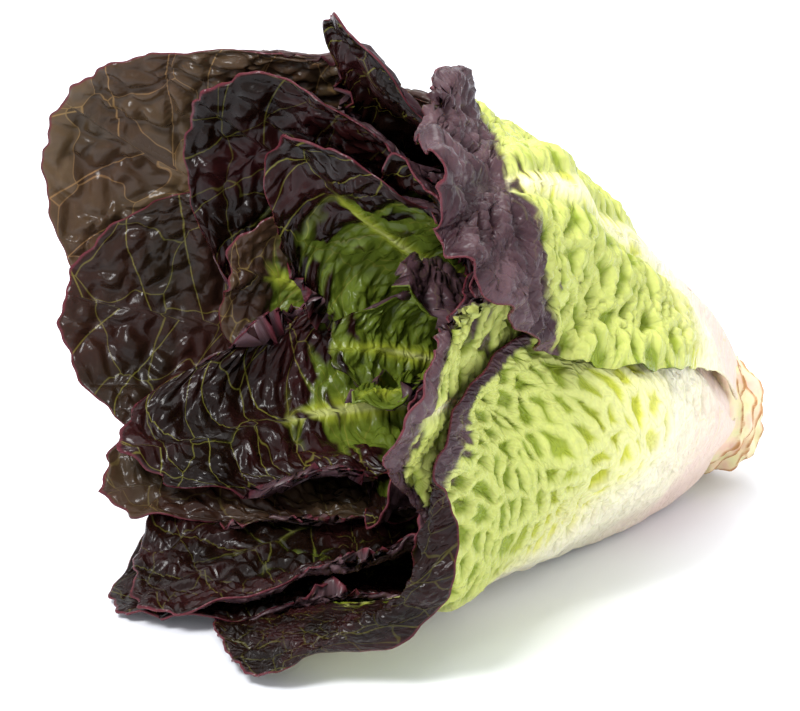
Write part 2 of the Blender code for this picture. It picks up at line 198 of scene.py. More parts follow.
# From the outermost leaf to the heart.
LEAVES = (
    Leaf("outer_leaf_1", OUTER, 46, reach=1.20, turn=-4, sway=-22, lean=-0.32, cup=-1, wave=1.2, waves=9,
         phase=0.4, shoulder=0.12, taper=0.05, blister=2.5, lift=0.9, cell=9.5, drawn=0.4, pimple=1.0,
         frill=2.0, frill_length=26.0, curl=0.6, red_from=0.72, red_back=1.3, back_from=0.52,
         rib_spread=7.0, rib_white=0.1),
    Leaf("outer_leaf_2", OUTER, 134, lee=0.50, reach=1.10, turn=11, sway=-8, lean=-0.06, cup=1, wave=1.0,
         waves=8, phase=1.9, shoulder=0.03, slant=0.05, taper=0.0, fold=140, fold_start=1.0,
         fold_skew=-0.43, fold_bow=0.455, fold_radius=2.5, blister=1.5, cell=6.8, drawn=1.0, pimple=0.3,
         frill=0.8, curl=0.0, red_from=0.72, red_back=0.62, back_from=0.56, pale_to=0.48, rib_spread=36.0,
         rib_white=1.0),
    Leaf("outer_leaf_3", OUTER, 98, reach=1.12, turn=3, lean=0.05, cup=-1, wave=1.0, waves=5, phase=0.9,
         shoulder=0.26, blister=2.2, cell=19.0, pimple=1.9, frill=0.8, red_from=0.30, veined=0.85,
         brown=0.7, tears=((-48.0, 0.2, 2.2), (-77.0, 0.06, 2.0), (-62.0, 0.05, 2.0))),
    Leaf("outer_leaf_4", OUTER, 60, reach=1.22, turn=-4, sway=-12, lean=-0.18, cup=-3, wave=0.4, waves=9,
         phase=2.2, blister=1.5, drawn=0.5, pimple=0.6, frill=0.7, curl=0.3, red_from=0.48, red_back=0.62,
         back_from=0.36, pale_to=0.34),
    Leaf("outer_leaf_5", OUTER, 58, reach=1.10, turn=17, lean=0.02, cup=-1, wave=1.4, phase=3.0, bed=1.6,
         frill=0.9, red_from=0.5),
    Leaf("outer_leaf_6", OUTER, 42, reach=1.06, turn=-4, cup=-2, wave=1.0, waves=6, phase=0.2,
         shoulder=0.42, frill=0.8, red_from=0.25, veined=0.7),
    Leaf("middle_leaf_1", MIDDLE, 40, reach=0.90, lean=-0.15, cup=-2, wave=0.6, waves=9, phase=4.0,
         bed=3.6),
    Leaf("middle_leaf_2", MIDDLE, 82, reach=1.07, lean=0.08, cup=-3, wave=1.2, waves=6, phase=1.2,
         cell=17.0, pimple=1.6, frill=0.8, red_from=0.26, veined=0.6, brown=0.12),
    Leaf("middle_leaf_3", MIDDLE, 46, reach=0.93, lean=-0.12, cup=-2, wave=0.8, waves=8, phase=5.0),
    Leaf("middle_leaf_4", MIDDLE, 60, reach=1.13, turn=-14, lean=0.04, cup=-2, phase=0.6, blister=1.6,
         frill=0.9, curl=1.6, red_from=0.50),
    Leaf("middle_leaf_5", MIDDLE, 66, reach=1.07, turn=2, lean=0.06, cup=-4, wave=1.2, waves=6, phase=2.6,
         cell=16.0, pimple=1.5, frill=1.0, veined=0.35),
    Leaf("middle_leaf_6", MIDDLE, 42, reach=0.88, lean=-0.12, cup=-2, wave=1.4, waves=9, phase=3.4),
    Leaf("middle_leaf_7", MIDDLE, 42, reach=1.08, turn=8, lean=0.14, cup=-3, phase=1.5, red_from=0.5,
         brown=0.3),
    Leaf("middle_leaf_8", MIDDLE, 44, reach=0.97, cup=-3, wave=1.8, waves=9, phase=0.1, red_from=0.86,
         pale_to=0.3, veined=0.9),
    Leaf("inner_leaf_1", INNER, 40, reach=0.92, cup=-3, wave=1.8, waves=9, phase=2.0, red_from=0.84,
         veined=0.7),
    Leaf("inner_leaf_2", INNER, 42, reach=0.99, cup=-3, wave=1.8, waves=8, phase=4.4, red_from=0.84,
         veined=0.7, brown=0.4),
    Leaf("inner_leaf_3", INNER, 36, reach=0.90, cup=-2, waves=9, phase=1.0, red_from=0.8, veined=0.7),
    Leaf("inner_leaf_4", INNER, 34, reach=1.12, turn=-30, lean=0.16, cup=-2, wave=1.8, waves=8, phase=3.7,
         curl=2.5, red_from=0.66, veined=0.7),
    Leaf("inner_leaf_5", INNER, 40, reach=1.06, turn=6, lean=0.15, cup=-2, waves=8, phase=0.8, curl=2.5,
         red_from=0.80, veined=0.8),
    Leaf("inner_leaf_6", INNER, 28, reach=0.96, cup=-1, wave=1.2, waves=8, phase=2.9, red_from=0.8),
    # heart_leaf_1 reddens at its tip and stays less pale than the other heart leaves: painted shade,
    # darkening it for the shadow it lies in deep in the head.
    Leaf("heart_leaf_1", HEART, 24, reach=0.88, wave=0.9, phase=1.1, red_from=0.92, pale_to=0.3),
    Leaf("heart_leaf_2", HEART, 20, wave=0.7, phase=2.3, red_from=1.2, pale_to=0.5),
    Leaf("heart_leaf_3", HEART, 16, wave=0.4, waves=6, phase=0.5, red_from=1.2, pale_to=0.5),
)


class Wire:
    """A node's output that takes part in sums as a number does."""

    def __init__(self, bench: "NodeBench", socket: bpy.types.NodeSocket) -> None:
        """Keeps the output and the bench that its sums are laid on."""
        self.bench = bench
        self.socket = socket

    def __add__(self, other: "Value") -> "Wire":
        """This plus other."""
        return self.bench.math("ADD", self, other)

    def __sub__(self, other: "Value") -> "Wire":
        """This minus other."""
        return self.bench.math("SUBTRACT", self, other)

    def __rsub__(self, other: "Value") -> "Wire":
        """Other minus this."""
        return self.bench.math("SUBTRACT", other, self)

    def __mul__(self, other: "Value") -> "Wire":
        """This times other."""
        return self.bench.math("MULTIPLY", self, other)

    def __truediv__(self, other: "Value") -> "Wire":
        """This over other."""
        return self.bench.math("DIVIDE", self, other)

    def __abs__(self) -> "Wire":
        """This without its sign."""
        return self.bench.math("ABSOLUTE", self)

    __radd__ = __add__
    __rmul__ = __mul__

    def least(self, other: "Value") -> "Wire":
        """The lesser of this and other."""
        return self.bench.math("MINIMUM", self, other)

    def most(self, other: "Value") -> "Wire":
        """The greater of this and other."""
        return self.bench.math("MAXIMUM", self, other)

    def ramp(self, low: float, high: float) -> "Wire":
        """A smooth ramp that is 0 at low and 1 at high, whichever is greater."""
        sockets = {"Value": self, "From Min": low, "From Max": high}
        return self.bench.add("ShaderNodeMapRange", {"interpolation_type": "SMOOTHSTEP"}, sockets)


Value = Union[Wire, float]


class NodeBench:
    """Lays nodes in one node tree, of a material or of a geometry pattern."""

    def __init__(self, tree: bpy.types.NodeTree) -> None:
        """Keeps the tree that the nodes are laid in."""
        self.tree = tree

    def add(self, kind: str, settings: Optional[dict[str, Any]] = None,
            sockets: Optional[dict[Union[int, str], Any]] = None, output: Union[int, str] = 0) -> Wire:
        """Adds one node.

        Args:
            kind: The node's type.
            settings: The node's own settings, which are set first.
            sockets: A value or a wire for each input that isn't left as it is.
            output: The output to give back.

        Returns:
            The wire from that output.
        """
        node = self.tree.nodes.new(kind)
        for name, value in (settings or {}).items():
            setattr(node, name, value)
        for key, value in (sockets or {}).items():
            self.join(node.inputs[key], value)
        return Wire(self, node.outputs[output])

    def join(self, target: bpy.types.NodeSocket, value: Any) -> None:
        """Links a wire to an input, or sets the input's value.

        Args:
            target: The input.
            value: The wire, or the value.
        """
        if isinstance(value, Wire):
            self.tree.links.new(value.socket, target)
        else:
            target.default_value = value

    def math(self, operation: str, *values: Value) -> Wire:
        """One Math node on the values."""
        return self.add("ShaderNodeMath", {"operation": operation}, dict(enumerate(values)))

    def scaled(self, vector: Wire, factor: float) -> Wire:
        """The vector times a number."""
        return self.add("ShaderNodeVectorMath", {"operation": "SCALE"}, {"Vector": vector, "Scale": factor})

    def mix(self, share: Value, first: Any, second: Any) -> Wire:
        """Mixes two colours.

        Args:
            share: How much of the second colour there is.
            first: The first colour, as three numbers or a wire.
            second: The second colour, likewise.

        Returns:
            The mixed colour.
        """
        first, second = (c if isinstance(c, Wire) else (*c, 1.0) for c in (first, second))
        sockets = {"Factor": share, 6: first, 7: second}
        return self.add("ShaderNodeMix", {"data_type": "RGBA", "clamp_factor": True}, sockets, 2)

    def noise(self, vector: Wire, scale: float, detail: float = 2.0) -> Wire:
        """Cloudy noise from 0 to 1, with about scale clouds to a unit of the vector."""
        return self.add("ShaderNodeTexNoise", None, {"Vector": vector, "Scale": scale, "Detail": detail})

    def mark(self, name: str, output: str = "Fac") -> Wire:
        """One of the mesh's point attributes."""
        return self.add("ShaderNodeAttribute", {"attribute_name": name}, None, output)

    def coat(self, shader: bpy.types.Node, colour: Wire, dull: Wire, height: Wire, depth: float) -> None:
        """Joins the varying parts of a skin to its shader.

        Args:
            shader: The shader node.
            colour: The skin's colour.
            dull: Its roughness.
            height: Its fine relief.
            depth: How deep the relief is, in metres.
        """
        self.join(shader.inputs["Base Color"], colour)
        self.join(shader.inputs["Roughness"], dull)
        bump = self.add("ShaderNodeBump", None, {"Strength": 0.6, "Distance": depth, "Height": height})
        self.join(shader.inputs["Normal"], bump)


@dataclass(frozen=True)
class NetMarks:
    """What the vein net gives at a point: raised cells, their fine relief, and the lines of the veins."""

    dome: Wire
    fine: Wire
    vein: Wire
    lateral: Wire
    lot: Wire


@dataclass(frozen=True)
class VeinNet:
    """The net of veins on a blade. Mesh and finish read the same net, so that lines lie in their furrows.

    climb is how steeply veins leave the midrib, settle how far they lie down on a drawn-out leaf, and arch
    how much they bend. stretch and squeeze draw such a leaf's cells out. Lengths are in millimetres.
    """

    attribute: str = "vein_place"
    lateral_spacing: float = 15.0
    climb: float = 0.75
    settle: float = 0.85
    arch: float = 0.0045
    jitter: float = 0.9
    stretch: float = 0.5
    squeeze: float = 0.25
    bend: float = 0.7
    bend_scale: float = 1.1
    furrow: float = 0.42
    lateral_groove: float = 2.2
    lateral_stray: float = 1.1
    lateral_stray_scale: float = 0.35
    line_width: float = 0.125
    fine_cells: float = 3.0
    fine_furrow: float = 0.35
    crumple_scale: float = 0.45
    side_step: float = 0.5
    leaf_step: float = 17.0

    def places(self, across: np.ndarray, along: np.ndarray, leaf: Leaf, order: int) -> np.ndarray:
        """Place of each point in the net.

        Args:
            across: Distance from the midrib, with its sign.
            along: Distance from the foot of the blade.
            leaf: The leaf, which says how large its cells are and how far they are drawn out.
            order: The leaf's number, which moves it to a part of the net of its own.

        Returns:
            Across and up in cells, and the count of lateral veins.
        """
        away = np.abs(across)
        climb = self.climb * (1.0 - self.settle * leaf.drawn)
        lifted = along - climb * away - self.arch * across**2
        laterals = lifted / self.lateral_spacing + np.where(across > 0.0, self.side_step, 0.0)
        sideways = across / leaf.cell / (1.0 + self.stretch * leaf.drawn) + self.leaf_step * order
        upward = (along + (lifted - along) * leaf.drawn) / leaf.cell * (1.0 + self.squeeze * leaf.drawn)
        return np.stack((sideways, upward, laterals), axis=-1)

    def marks(self, bench: NodeBench, place: Wire, cell: Value) -> NetMarks:
        """Lays the nodes that work the net out.

        Args:
            bench: Where the nodes go.
            place: The place in the net.
            cell: Size of a blister in millimetres.

        Returns:
            The net's marks at that place.
        """
        stray = bench.add("ShaderNodeTexNoise", None,
                          {"Vector": place, "Scale": self.bend_scale, "Detail": 1.0}, "Color")
        stray = bench.add("ShaderNodeVectorMath", {"operation": "SUBTRACT"}, {0: stray, 1: (0.5, 0.5, 0.5)})
        bent_place = bench.add("ShaderNodeVectorMath", None, {0: place, 1: bench.scaled(stray, self.bend)})
        edge = self.cells(bench, bent_place, "DISTANCE_TO_EDGE", 1.0, "Distance")
        chance = self.cells(bench, bent_place, "F1", 1.0, "Color")
        fine_edge = self.cells(bench, bent_place, "DISTANCE_TO_EDGE", self.fine_cells, "Distance")
        count = bench.add("ShaderNodeSeparateXYZ", None, {0: place}, "Z")
        bent = count + (bench.noise(place, self.lateral_stray_scale) - 0.5) * self.lateral_stray
        lateral_edge = 0.5 - abs(bench.math("FRACT", bent) - 0.5)
        joined = edge.least(lateral_edge * self.lateral_groove)
        width = self.line_width
        return NetMarks(
            dome=joined.ramp(0.0, self.furrow), fine=fine_edge.ramp(0.0, self.fine_furrow),
            vein=(edge * cell).ramp(1.8 * width, 0.5 * width),
            lateral=(lateral_edge * self.lateral_spacing).ramp(2.2 * width, 0.8 * width),
            lot=bench.add("ShaderNodeSeparateXYZ", None, {0: chance}, "X"))

    def cells(self, bench: NodeBench, place: Wire, feature: str, scale: float, output: str) -> Wire:
        """What one feature of the net's cells gives at a place."""
        return bench.add("ShaderNodeTexVoronoi", {"voronoi_dimensions": "2D", "feature": feature},
                         {"Vector": place, "Randomness": self.jitter, "Scale": scale}, output)

    def stamp(self, piece: bpy.types.Object, cell: float) -> None:
        """Writes the net's relief on a piece's points, from the same nodes that its finish uses.

        Args:
            piece: The leaf, whose points have their places in the net.
            cell: Size of a blister in millimetres.
        """
        tree = bpy.data.node_groups.new("vein relief", "GeometryNodeTree")
        for way in ("INPUT", "OUTPUT"):
            tree.interface.new_socket(name="Geometry", in_out=way, socket_type="NodeSocketGeometry")
        bench = NodeBench(tree)
        shape = bench.add("NodeGroupInput")
        place = bench.add("GeometryNodeInputNamedAttribute", {"data_type": "FLOAT_VECTOR"},
                          {"Name": self.attribute})
        marks = self.marks(bench, place, cell)
        crumple = bench.noise(place, self.crumple_scale, 1.0)
        for name, value in (("dome", marks.dome), ("fine", marks.fine), ("lot", marks.lot),
                            ("lateral", marks.lateral), ("crumple", crumple)):
            shape = bench.add("GeometryNodeStoreNamedAttribute", {"data_type": "FLOAT", "domain": "POINT"},
                              {"Geometry": shape, "Name": name, "Value": value})
        end = tree.nodes.new("NodeGroupOutput")
        tree.links.new(shape.socket, end.inputs[0])
        relief = piece.modifiers.new("Vein relief", "NODES")
        relief.node_group = tree
        apply_modifier(piece, relief)


def apply_modifier(piece: bpy.types.Object, modifier: bpy.types.Modifier) -> None:
    """Applies a modifier to a piece that is made the active one."""
    bpy.context.view_layer.objects.active = piece
    bpy.ops.object.modifier_apply(modifier=modifier.name)


def deselect_all() -> None:
    """Leaves nothing selected, so that the next operator acts on what it adds alone."""
    for other in bpy.context.view_layer.objects:
        other.select_set(False)


def read_points(mesh: bpy.types.Mesh) -> np.ndarray:
    """Reads a mesh's points.

    Args:
        mesh: The mesh.

    Returns:
        A row of three coordinates for each point, in metres.
    """
    flat = np.empty(len(mesh.vertices) * 3, dtype=np.float32)
    mesh.vertices.foreach_get("co", flat)
    return flat.reshape(-1, 3).astype(float)


def write_points(mesh: bpy.types.Mesh, points: np.ndarray) -> None:
    """Moves the mesh's points to new places, in metres."""
    mesh.vertices.foreach_set("co", np.asarray(points, dtype=np.float32).ravel())
    mesh.update()


def read_marks(mesh: bpy.types.Mesh, name: str) -> np.ndarray:
    """Reads one of a mesh's point attributes.

    Args:
        mesh: The mesh.
        name: The attribute's name.

    Returns:
        A number for each point.
    """
    values = np.empty(len(mesh.vertices), dtype=np.float32)
    mesh.attributes[name].data.foreach_get("value", values)
    return values.astype(float)


def write_marks(mesh: bpy.types.Mesh, name: str, values: np.ndarray) -> None:
    """Gives a mesh a point attribute of numbers or vectors.

    Args:
        mesh: The mesh.
        name: The attribute's name.
        values: A number for each point, or a row of three.
    """
    kind, key = ("FLOAT_VECTOR", "vector") if values.ndim > 1 else ("FLOAT", "value")
    attribute = mesh.attributes.new(name, kind, "POINT")
    attribute.data.foreach_set(key, np.asarray(values, dtype=np.float32).ravel())


@dataclass
class HeadForm:
    """The form that all the leaves share: profiles, nesting and the pose on the table."""

    outer_profile: Profile = ((19.5, 9.0), (46.0, 42.0), (49.0, 98.0), (85.0, 151.0))
    heart_profile: Profile = ((3.0, 50.0), (6.0, 66.0), (5.0, 96.0), (4.0, 126.0))
    blade_length: float = 172.0
    tilt: float = math.radians(19.6)
    axis_lift: float = 17.4
    closed_side: float = math.radians(95.0)
    closing: float = 0.24
    table_closing: float = 0.14
    heart_lean: float = 12.0
    blade_thickness: float = 0.9
    rib_thickness: float = 4.2
    rib_half_width: float = 9.0
    rib_tip_half_width: float = 2.2
    divergence: float = -137.5
    first_azimuth: float = 158.0
    layer_step: float = 0.04
    most_wrap: float = 2.4
    shared_waves: tuple[tuple[float, ...], ...] = ((2.0, 5, 0.8, 0.9), (1.0, 9, -1.4, 3.0))
    clearance: float = 1.1
    angle_steps: int = 180
    length_steps: int = 64
    longest_reach: float = 1.26
    covered_u: float = 1.08
    covered_v: float = 1.05
    spread_passes: int = 2
    push_rounds: int = 3
    push_blur: int = 6
    last_blur: int = 4
    closing_width: float = 0.9
    heart_width: float = 28.0
    press_depth: float = 3.5
    press_height: float = 28.0
    belly_press: float = 3.2
    belly: tuple[float, float] = (94.0, 26.0)
    centre: tuple[float, float, float] = (0.0, 0.0, 0.0)

    def profile(self, layer: Number, t: Number) -> tuple[Number, Number]:
        """Outline of a layer.

        Args:
            layer: The layer.
            t: Share of the layer's length.

        Returns:
            Distance from the axis and height along it.
        """
        share = (layer, layer, layer, layer * (1.5 - 0.5 * layer))
        basis = ((1 - t) ** 3, 3 * t * (1 - t) ** 2, 3 * t * t * (1 - t), t**3)
        radius = height = 0.0
        for weight, mix, heart, outer in zip(basis, share, self.heart_profile, self.outer_profile):
            radius = radius + weight * (heart[0] + (outer[0] - heart[0]) * mix)
            height = height + weight * (heart[1] + (outer[1] - heart[1]) * mix)
        return radius, height

    def profile_slope(self, layer: Number, t: Number) -> tuple[Number, Number]:
        """Unit tangent of the profile.

        Args:
            layer: The layer.
            t: Share of the layer's length.

        Returns:
            The tangent's parts away from the axis and along it.
        """
        step = 1e-3
        radius_a, height_a = self.profile(layer, t - step)
        radius_b, height_b = self.profile(layer, t + step)
        length = np.hypot(radius_b - radius_a, height_b - height_a)
        return (radius_b - radius_a) / length, (height_b - height_a) / length

    def room_per_layer(self, layer: Number, t: Number) -> Number:
        """Room between layers.

        Args:
            layer: The layer.
            t: Share of the layer's length.

        Returns:
            Millimetres from one layer to the next, square to the profile.
        """
        step = 1e-3
        radius_a, height_a = self.profile(layer - step, t)
        radius_b, height_b = self.profile(layer + step, t)
        away, along = self.profile_slope(layer, t)
        return ((radius_b - radius_a) * along - (height_b - height_a) * away) / (2 * step)

    def layer_of(self, order: int) -> float:
        """The layer that a leaf starts from."""
        return 1.0 - self.layer_step * order

    def azimuth_of(self, order: int, v: Number) -> Number:
        """The midrib's angle round the head."""
        leaf = LEAVES[order]
        return np.radians(self.first_azimuth + self.divergence * order + leaf.turn + leaf.sway * v * v)

    def half_width_at(self, leaf: Leaf, v: Number) -> Number:
        """Half the blade's width, which has a narrow foot and is widest near three quarters of the way.

        Args:
            leaf: The leaf.
            v: Place along the blade.

        Returns:
            Half the width on the leaf's wider side.
        """
        foot = 0.10 + 9.0 / leaf.half_width
        widening = foot + (1.0 - foot) * smooth_step((v + 0.05) / 0.80) ** 0.9
        narrowing = 1.0 - leaf.taper * smooth_step((v - 0.72) / 0.30)
        return leaf.half_width * widening * narrowing

    def half_angle_at(self, order: int, v: Number) -> Number:
        """Half the angle that a blade spans round the head.

        Args:
            order: The leaf's number, counted from the outermost.
            v: Place along the blade.

        Returns:
            The angle in radians, never more than most_wrap.
        """
        leaf = LEAVES[order]
        radius, _ = self.profile(self.layer_of(order), leaf.reach * v)
        return self.most_wrap * np.tanh(self.half_width_at(leaf, v) / radius / self.most_wrap)

    def length_share(self, leaf: Leaf, u: Number, v: Number) -> Number:
        """Share of the layer's length. The shoulders stay behind the tip, and slant lengthens one side."""
        return leaf.reach * v * (1.0 - (leaf.shoulder * np.abs(u) ** 2.6 - leaf.slant * u) * v**3)

    def side_share(self, leaf: Leaf, u: Number) -> Number:
        """Share of the full width on the side of u."""
        return np.where(np.asarray(u) < 0.0, leaf.lee, 1.0)

    def thickness_at(self, order: int, u: Number, v: Number) -> Number:
        """Thickness of a blade with its midrib.

        Args:
            order: The leaf's number.
            u: Place across the blade.
            v: Place along it.

        Returns:
            The thickness in millimetres.
        """
        leaf, layer = LEAVES[order], self.layer_of(order)
        v = np.clip(v, 0.0, 1.0)
        rib = self.rib_thickness * (0.2 + 0.8 * layer) * (1.0 - v) ** 1.3
        spread = self.rib_half_width * (0.4 + 0.6 * layer) - self.rib_tip_half_width
        rib_half_width = self.rib_tip_half_width + spread * (1.0 - v)
        across = np.abs(u) * self.side_share(leaf, u) * self.half_width_at(leaf, v)
        return self.blade_thickness + rib * np.exp(-((across / rib_half_width) ** 2))

    def wished_layer(self, order: int, u: Number, v: Number) -> Number:
        """The layer that a blade would take if nothing lay inside it.

        Args:
            order: The leaf's number.
            u: Place across the blade.
            v: Place along it.

        Returns:
            The layer at that place.
        """
        leaf, layer = LEAVES[order], self.layer_of(order)
        across_tip = np.clip((v - 0.45) / 0.55, -1.0, 1.0)
        rim = np.clip(np.maximum(np.abs(u), across_tip) * smooth_step(v / 0.6), 0.0, 1.1)
        offset = leaf.wave * rim**4 * np.sin(leaf.waves * np.arctan2(u, across_tip) + leaf.phase)
        offset = offset + leaf.cup * np.minimum(u * u, 1.2) * smooth_step((v - 0.3) / 0.6)
        room = self.room_per_layer(layer, np.minimum(leaf.reach * v, self.longest_reach))
        return layer + leaf.lean * v**3 + offset / room

    def place_on_blade(self, order: int, angle: np.ndarray, t: np.ndarray) -> tuple[np.ndarray, np.ndarray]:
        """Finds the blade coordinates of places round the head.

        Args:
            order: The leaf's number.
            angle: Angle round the head.
            t: Share of the layer's length.

        Returns:
            The coordinates u and v, which pass 1 a little beyond the blade's rim.
        """
        leaf = LEAVES[order]
        v = t / leaf.reach
        for _ in range(5):
            away = turn_from(self.azimuth_of(order, v), angle)
            u = np.clip(away / (self.side_share(leaf, away) * self.half_angle_at(order, v)), -1.3, 1.3)
            drop = leaf.shoulder * np.abs(u) ** 2.6 - leaf.slant * u
            bent = leaf.reach * (1.0 - drop * np.minimum(v, 1.1) ** 3)
            v = np.minimum(t / bent, 1.3)
        return u, v

    def lay_leaves(self) -> list[np.ndarray]:
        """Lays the leaves from the heart outwards, so that none cross.

        Returns:
            The layer of every leaf over the lattice of angles and lengths, the outermost leaf first.
        """
        angle, t = np.meshgrid(np.arange(self.angle_steps) * 2.0 * math.pi / self.angle_steps,
                               np.linspace(0.0, self.longest_reach, self.length_steps), indexing="ij")
        taken = np.full(angle.shape, -1.0)
        fields: list[np.ndarray] = [taken] * len(LEAVES)
        for order in reversed(range(len(LEAVES))):
            u, v = self.place_on_blade(order, angle, t)
            wish = self.wished_layer(order, u, v)
            need = widened(np.maximum(0.0, taken - wish), self.spread_passes)
            push = need
            for _ in range(self.push_rounds):
                push = np.maximum(blurred(push, self.push_blur), need)
            laid = wish + blurred(push, self.last_blur)
            fields[order] = laid
            covered = (np.abs(u) < self.covered_u) & (v < self.covered_v)
            room = self.thickness_at(order, u, v) + self.clearance
            taken = np.where(covered, np.maximum(taken, laid + room / self.room_per_layer(laid, t)), taken)
        return fields

    def look_up(self, laid: np.ndarray, angle: np.ndarray, t: np.ndarray) -> np.ndarray:
        """Reads a laid leaf's layer between lattice points, by cubics both ways.

        Args:
            laid: The leaf's layer over the lattice.
            angle: Angle round the head.
            t: Share of the layer's length.

        Returns:
            The layer at those places.
        """
        across = (angle / (2.0 * math.pi) * self.angle_steps) % self.angle_steps
        along = np.clip(t / self.longest_reach, 0.0, 1.0) * (self.length_steps - 1)
        column = np.floor(across).astype(int)
        row = np.minimum(np.floor(along).astype(int), self.length_steps - 2)
        weights = []
        for x in (across - column, along - row):
            weights.append((((2.0 - x) * x - 1.0) * x / 2.0, ((3.0 * x - 5.0) * x * x + 2.0) / 2.0,
                            ((4.0 - 3.0 * x) * x + 1.0) * x / 2.0, (x - 1.0) * x * x / 2.0))
        total = 0.0
        for i in range(4):
            for j in range(4):
                near = laid[(column + i - 1) % self.angle_steps,
                            np.clip(row + j - 1, 0, self.length_steps - 1)]
                total = total + weights[0][i] * weights[1][j] * near
        return total

    def warped(self, down: Number, front: Number, along: Number) -> np.ndarray:
        """Presses the round head out of true: its front side is more closed, and its heart leans up.

        Args:
            down: Distance below the axis.
            front: Distance before the axis.
            along: Distance along the axis.

        Returns:
            The points of the pressed head, in head coordinates.
        """
        radius, angle = np.hypot(down, front), np.arctan2(front, down)
        closing = 1.0
        for share, side, start, length in ((self.closing, self.closed_side, 50.0, 90.0),
                                           (self.table_closing, 0.0, 80.0, 70.0)):
            near = np.exp(-((turn_from(side, angle) / self.closing_width) ** 2))
            closing = closing - share * near * smooth_step((along - start) / length)
        lean = self.heart_lean * np.exp(-((radius / self.heart_width) ** 2))
        lean = lean * smooth_step((along - 40.0) / 80.0)
        return np.stack((down * closing - lean, front * closing, along), axis=-1)

    def sheet(self, order: int, laid: np.ndarray, u: np.ndarray, v: np.ndarray) -> np.ndarray:
        """The blade's inner face before any fold.

        Args:
            order: The leaf's number.
            laid: The leaf's layer over the lattice.
            u: Place across the blade.
            v: Place along it.

        Returns:
            The face's points, in head coordinates.
        """
        leaf = LEAVES[order]
        t = self.length_share(leaf, u, v)
        angle = self.azimuth_of(order, v) + u * self.side_share(leaf, u) * self.half_angle_at(order, v)
        layer = self.look_up(laid, angle, t)
        radius, height = self.profile(layer, t)
        away, along = self.profile_slope(layer, t)
        offset = 0.0
        for wave_height, count, turn, start in self.shared_waves:
            spread = wave_height * smooth_step((t - 0.25) / 0.75) * smooth_step(radius / 40.0)
            offset = offset + spread * np.sin(count * angle + turn * (radius / 12.0 + 4.0 * t) + start)
        radius = radius + offset * along
        height = height - offset * away
        return self.warped(radius * np.cos(angle), radius * np.sin(angle), height)

    def blade(self, order: int, laid: np.ndarray, u: np.ndarray, v: np.ndarray) -> np.ndarray:
        """The blade's inner face, with its far end rolled outwards over a crease if the leaf has one.

        Args:
            order: The leaf's number.
            laid: The leaf's layer over the lattice.
            u: Place across the blade.
            v: Place along it.

        Returns:
            The face's points, in head coordinates.
        """
        leaf = LEAVES[order]
        flat = self.sheet(order, laid, u, v)
        if leaf.fold == 0.0:
            return flat
        step = 0.01
        crease = np.minimum(leaf.fold_start + leaf.fold_skew * u + leaf.fold_bow * u * u, 1.1)
        turning = (leaf.fold_skew + 2.0 * leaf.fold_bow * u) * step
        start = self.sheet(order, laid, u, crease)
        across = unit(self.sheet(order, laid, u + step, crease + turning)
                      - self.sheet(order, laid, u - step, crease - turning))
        upward = unit(start - self.sheet(order, laid, u, crease - step))
        slide = (upward * across).sum(axis=-1, keepdims=True)
        forward = unit(upward - slide * across)
        outward = unit(np.cross(across, forward))
        beyond = np.maximum(0.0, v - crease)[..., None] * self.blade_length * leaf.reach
        length = beyond * np.sqrt(1.0 - slide * slide)
        turned = np.minimum(length / leaf.fold_radius, math.radians(leaf.fold))
        straight = length - leaf.fold_radius * turned
        ahead = leaf.fold_radius * np.sin(turned) + straight * np.cos(turned)
        out = leaf.fold_radius * (1.0 - np.cos(turned)) + straight * np.sin(turned)
        bent = start + across * beyond * slide + forward * ahead + outward * out
        return np.where(beyond > 0.0, bent, flat)

    def laid_down(self, points: np.ndarray) -> np.ndarray:
        """Turns the head to its rest pose, presses it on the table and sets it over the origin.

        Args:
            points: Points in head coordinates.

        Returns:
            The same points where they are shown, in millimetres.
        """
        down, front, along = points[..., 0], points[..., 1], points[..., 2]
        x = -math.cos(self.tilt) * along - math.sin(self.tilt) * down
        z = math.sin(self.tilt) * along - math.cos(self.tilt) * down + self.axis_lift
        belly = np.exp(-(((along - self.belly[0]) / self.belly[1]) ** 2))
        depth = self.press_depth + self.belly_press * belly
        z = z + depth * (np.maximum(0.0, self.press_height - z) / (self.press_height + self.press_depth)) ** 2
        return np.stack((x, -front, z), axis=-1) + np.array(self.centre)


def blurred(values: np.ndarray, passes: int) -> np.ndarray:
    """Smooths a lattice's values over their neighbours, round the head and along it.

    Args:
        values: The lattice's values.
        passes: How often they are smoothed.

    Returns:
        The smoothed values.
    """
    for _ in range(passes):
        values = (np.roll(values, 1, axis=0) + 2.0 * values + np.roll(values, -1, axis=0)) / 4.0
        padded = np.pad(values, ((0, 0), (1, 1)), mode="edge")
        values = (padded[:, :-2] + 2.0 * values + padded[:, 2:]) / 4.0
    return values


def widened(values: np.ndarray, passes: int) -> np.ndarray:
    """Spreads each of a lattice's values to its lower neighbours.

    Args:
        values: The lattice's values.
        passes: By how many lattice points they spread.

    Returns:
        The spread values.
    """
    for _ in range(passes):
        values = np.maximum(values, np.maximum(np.roll(values, 1, axis=0), np.roll(values, -1, axis=0)))
        padded = np.pad(values, ((0, 0), (1, 1)), mode="edge")
        values = np.maximum(values, np.maximum(padded[:, :-2], padded[:, 2:]))
    return values


def principled(name: str, **constants: Any) -> tuple[bpy.types.Material, NodeBench, bpy.types.Node]:
    """Starts a material.

    Args:
        name: The material's name.
        constants: Values for the shader's sockets that are the same all over.

    Returns:
        The material, a bench on its nodes and its shader node.
    """
    material = bpy.data.materials.new(name)
    material.use_nodes = True
    shader = material.node_tree.nodes["Principled BSDF"]
    for key, value in constants.items():
        shader.inputs[key.replace("_", " ")].default_value = value
    return material, NodeBench(material.node_tree), shader


